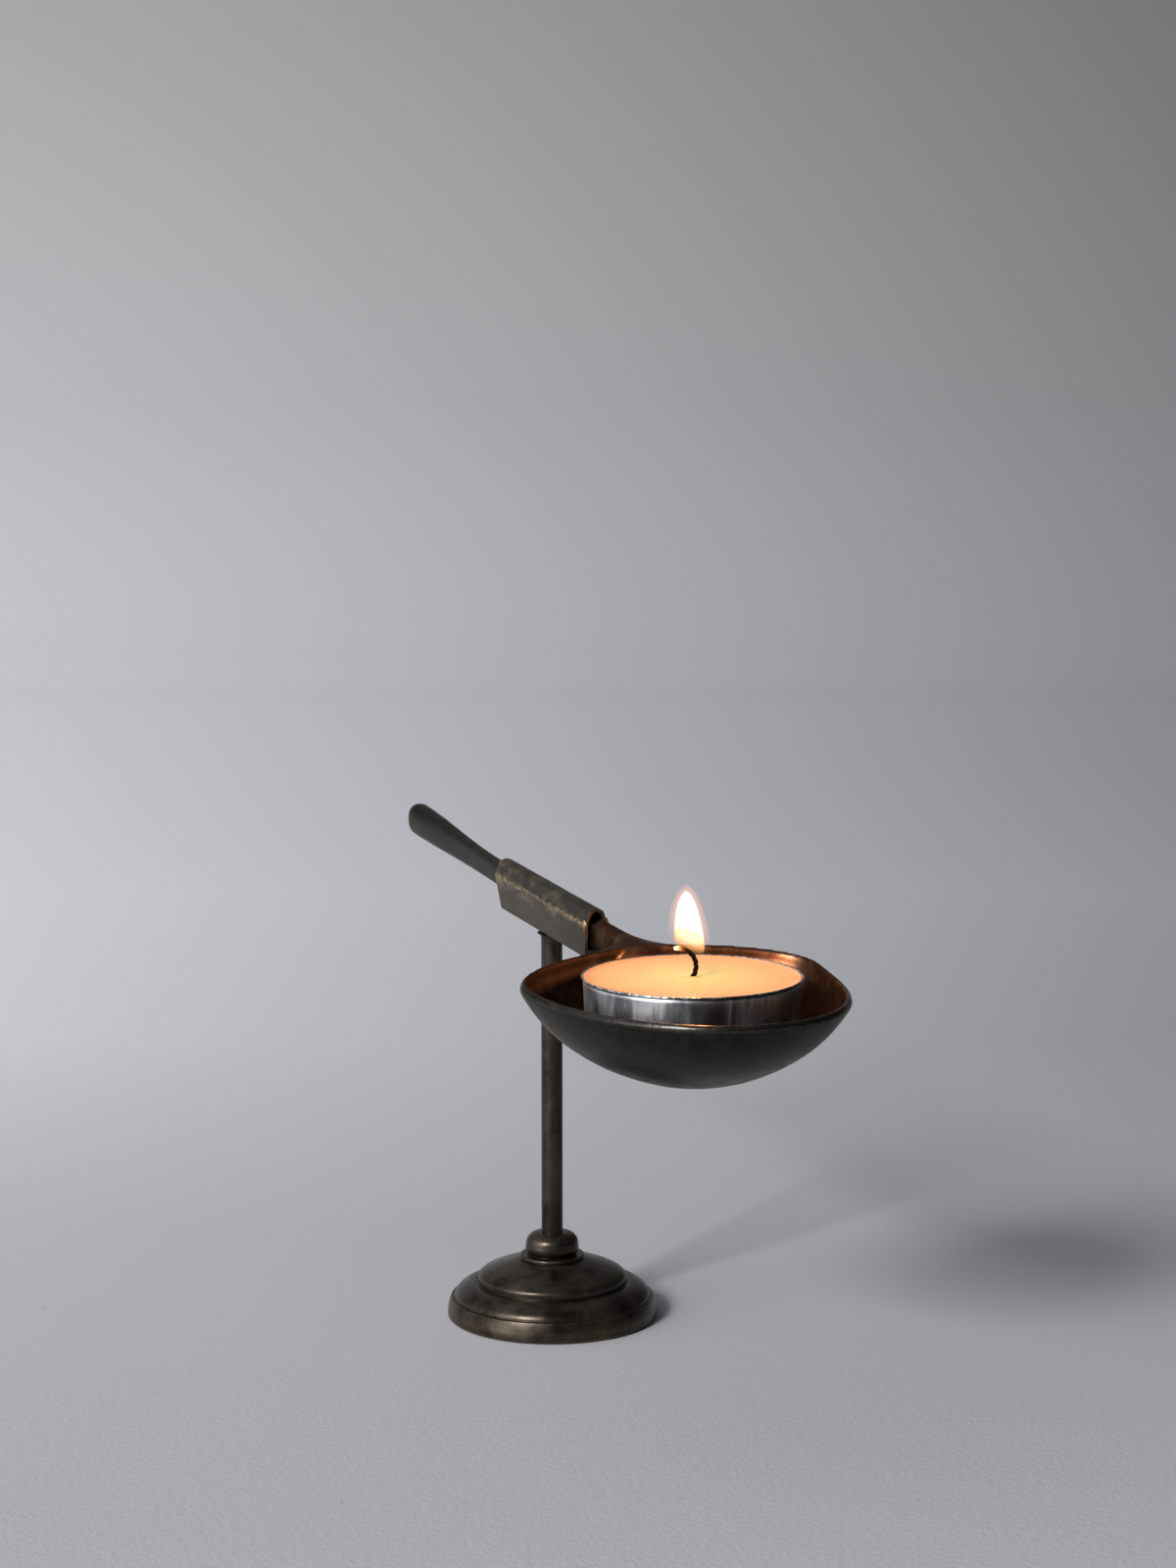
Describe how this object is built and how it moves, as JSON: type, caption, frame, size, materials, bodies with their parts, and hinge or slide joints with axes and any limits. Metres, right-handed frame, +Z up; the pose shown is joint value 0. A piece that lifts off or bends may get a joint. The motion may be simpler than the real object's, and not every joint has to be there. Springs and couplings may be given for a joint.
{
  "type": "candle stand",
  "caption": "Candle stand: a turned foot and round post carry a folded sleeve, through which the handle of an egg-shaped ladle slips. A tealight stands in the ladle's bowl.",
  "frame": {"origin": "middle of the foot's flat underside", "axes": "+Z up, the ladle's handle and bowl lie along Y with the bowl towards -Y, X across"},
  "size_m": [0.057, 0.1658, 0.088],
  "materials": {
    "bronzed_brass": "dark satin patina",
    "folded_brass": "dark patina, worn through to yellow along the folds",
    "blackened_brass": "forged, nearly black, fine mottling",
    "thin_aluminium": "bright, drawn",
    "wax": "soft, lets light through",
    "tinned_steel": "pressed",
    "wick_cotton": "braided, charred"
  },
  "bodies": {
    "stand": {"foot": "bronzed_brass", "post": "bronzed_brass", "sleeve": "folded_brass"},
    "ladle": {"ladle": "blackened_brass"},
    "candle": {"candle_cup": "thin_aluminium", "candle_wax": "wax", "wick_tab": "tinned_steel", "wick": "wick_cotton"}
  },
  "joints": [
    {"name": "ladle_slide", "type": "slide", "parent": "stand", "child": "ladle", "axis": [0, -0.9958, -0.0911], "range_m": [-0.004, 0.012]},
    {"name": "candle_lift", "type": "slide", "parent": "ladle", "child": "candle", "axis": [0, 0, 1], "range_m": [0, 0.035]}
  ]
}
